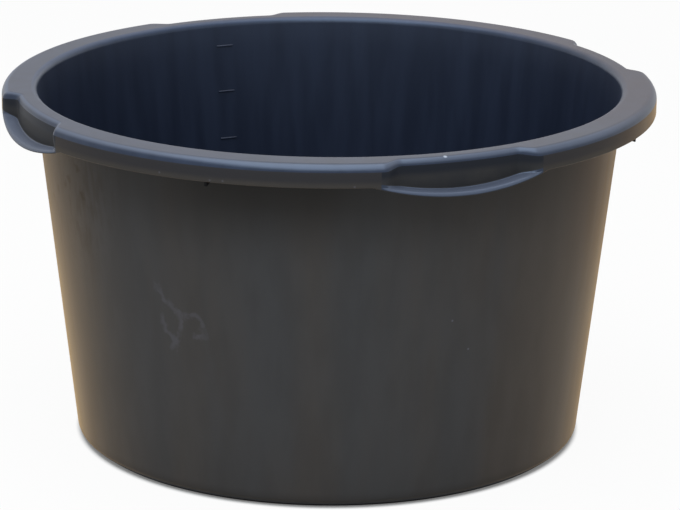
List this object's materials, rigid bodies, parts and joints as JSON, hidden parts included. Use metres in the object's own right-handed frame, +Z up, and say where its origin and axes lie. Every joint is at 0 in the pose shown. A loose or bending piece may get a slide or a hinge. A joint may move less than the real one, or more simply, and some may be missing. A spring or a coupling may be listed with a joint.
{
  "type": "cement tub",
  "caption": "Round tapered plastic tub for mixing and carrying cement, with a flat turned-down rim, recessed hand grips and raised litre marks inside.",
  "frame": {"origin": "centre of the circle that the foot ring stands on", "axes": "+Z up along the tub's axis, -Y to the front grip, +X to the right grip; the litre marks are on the +Y side"},
  "size_m": [0.605, 0.605, 0.333],
  "materials": {
    "tub_plastic": "black polyethylene with a soft moulded sheen, lightly dusted and scuffed"
  },
  "bodies": {
    "root": {"floor": "tub_plastic", "foot_ring": "tub_plastic", "gate_mark": "tub_plastic", "wall": "tub_plastic", "rim_webs": "tub_plastic", "litre_marks": "tub_plastic", "grip_front": "tub_plastic", "grip_right": "tub_plastic", "grip_back": "tub_plastic", "grip_left": "tub_plastic", "rim_front_right": "tub_plastic", "rim_back_right": "tub_plastic", "rim_back_left": "tub_plastic", "rim_front_left": "tub_plastic"}
  },
  "joints": []
}
